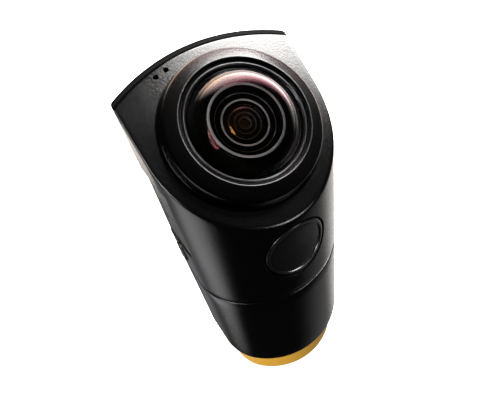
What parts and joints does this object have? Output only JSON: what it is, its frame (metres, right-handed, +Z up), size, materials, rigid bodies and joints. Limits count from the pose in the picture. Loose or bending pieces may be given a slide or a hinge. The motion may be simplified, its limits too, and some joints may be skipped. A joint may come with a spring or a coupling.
{
  "type": "360 degree camera",
  "caption": "Handheld wide-view pocket camera: oval drafted stick body, slanted top with a raised dome lens, front shutter button, side port flap and a tripod socket in its base.",
  "frame": {"origin": "mouth of the tripod socket, at the middle of the base's underside", "axes": "+Z up the body, -Y to the front with the shutter button, +X to the camera's right"},
  "size_m": [0.0388, 0.0297, 0.0868],
  "materials": {
    "black_plastic": "fine moulded grain",
    "satin_plastic": "smooth satin",
    "gold_plastic": "satin",
    "dark_metal": "black anodised",
    "steel": "plain",
    "chassis_plastic": "as moulded",
    "seal_rubber": "matt",
    "lens_glass": "polished and coated",
    "circuit_board": "lacquered",
    "flex_film": "film",
    "cell_wrap": "wrapped foil",
    "light_metal": "plain",
    "sensor_face": "polished"
  },
  "bodies": {
    "camera": {"front_shell": "black_plastic", "back_cover": "black_plastic", "lower_sleeve": "black_plastic", "lens_bezel": "black_plastic", "base_cap": "gold_plastic", "retaining_ring": "dark_metal", "lens_barrel": "dark_metal", "aperture_stop": "dark_metal", "lens_holder": "dark_metal", "tripod_insert": "steel", "base_screws": "steel", "board_screws": "steel", "button_screws": "steel", "flap_pin": "steel", "shield_can": "steel", "usb_port": "steel", "card_slot": "steel", "microphones": "steel", "chassis": "chassis_plastic", "side_switch": "chassis_plastic", "tact_switch": "chassis_plastic", "seam_seal": "seal_rubber", "button_gasket": "seal_rubber", "lens_seal": "seal_rubber", "mic_gasket": "seal_rubber", "front_element": "lens_glass", "second_element": "lens_glass", "third_element": "lens_glass", "rear_element": "lens_glass", "ir_filter": "lens_glass", "main_board": "circuit_board", "button_board": "circuit_board", "sensor_board": "circuit_board", "sensor_flex": "flex_film", "antenna": "flex_film", "battery": "cell_wrap", "heat_spreader": "light_metal", "image_sensor": "sensor_face"},
    "button": {"shutter_button": "satin_plastic"},
    "key": {"power_key": "black_plastic"},
    "flap": {"port_flap": "black_plastic", "flap_seal": "seal_rubber"}
  },
  "joints": [
    {"name": "shutter_press", "type": "slide", "parent": "camera", "child": "button", "axis": [0, 1, 0], "range_m": [0, 0.0005], "stiffness_N_per_m": 1500},
    {"name": "key_press", "type": "slide", "parent": "camera", "child": "key", "axis": [1, 0, 0], "range_m": [0, 0.0004], "stiffness_N_per_m": 1500},
    {"name": "flap_hinge", "type": "hinge", "parent": "camera", "child": "flap", "pos_m": [-0.01751, 0.0007, 0.0597], "axis": [0, 0, 1], "range_deg": [0, 95]}
  ]
}
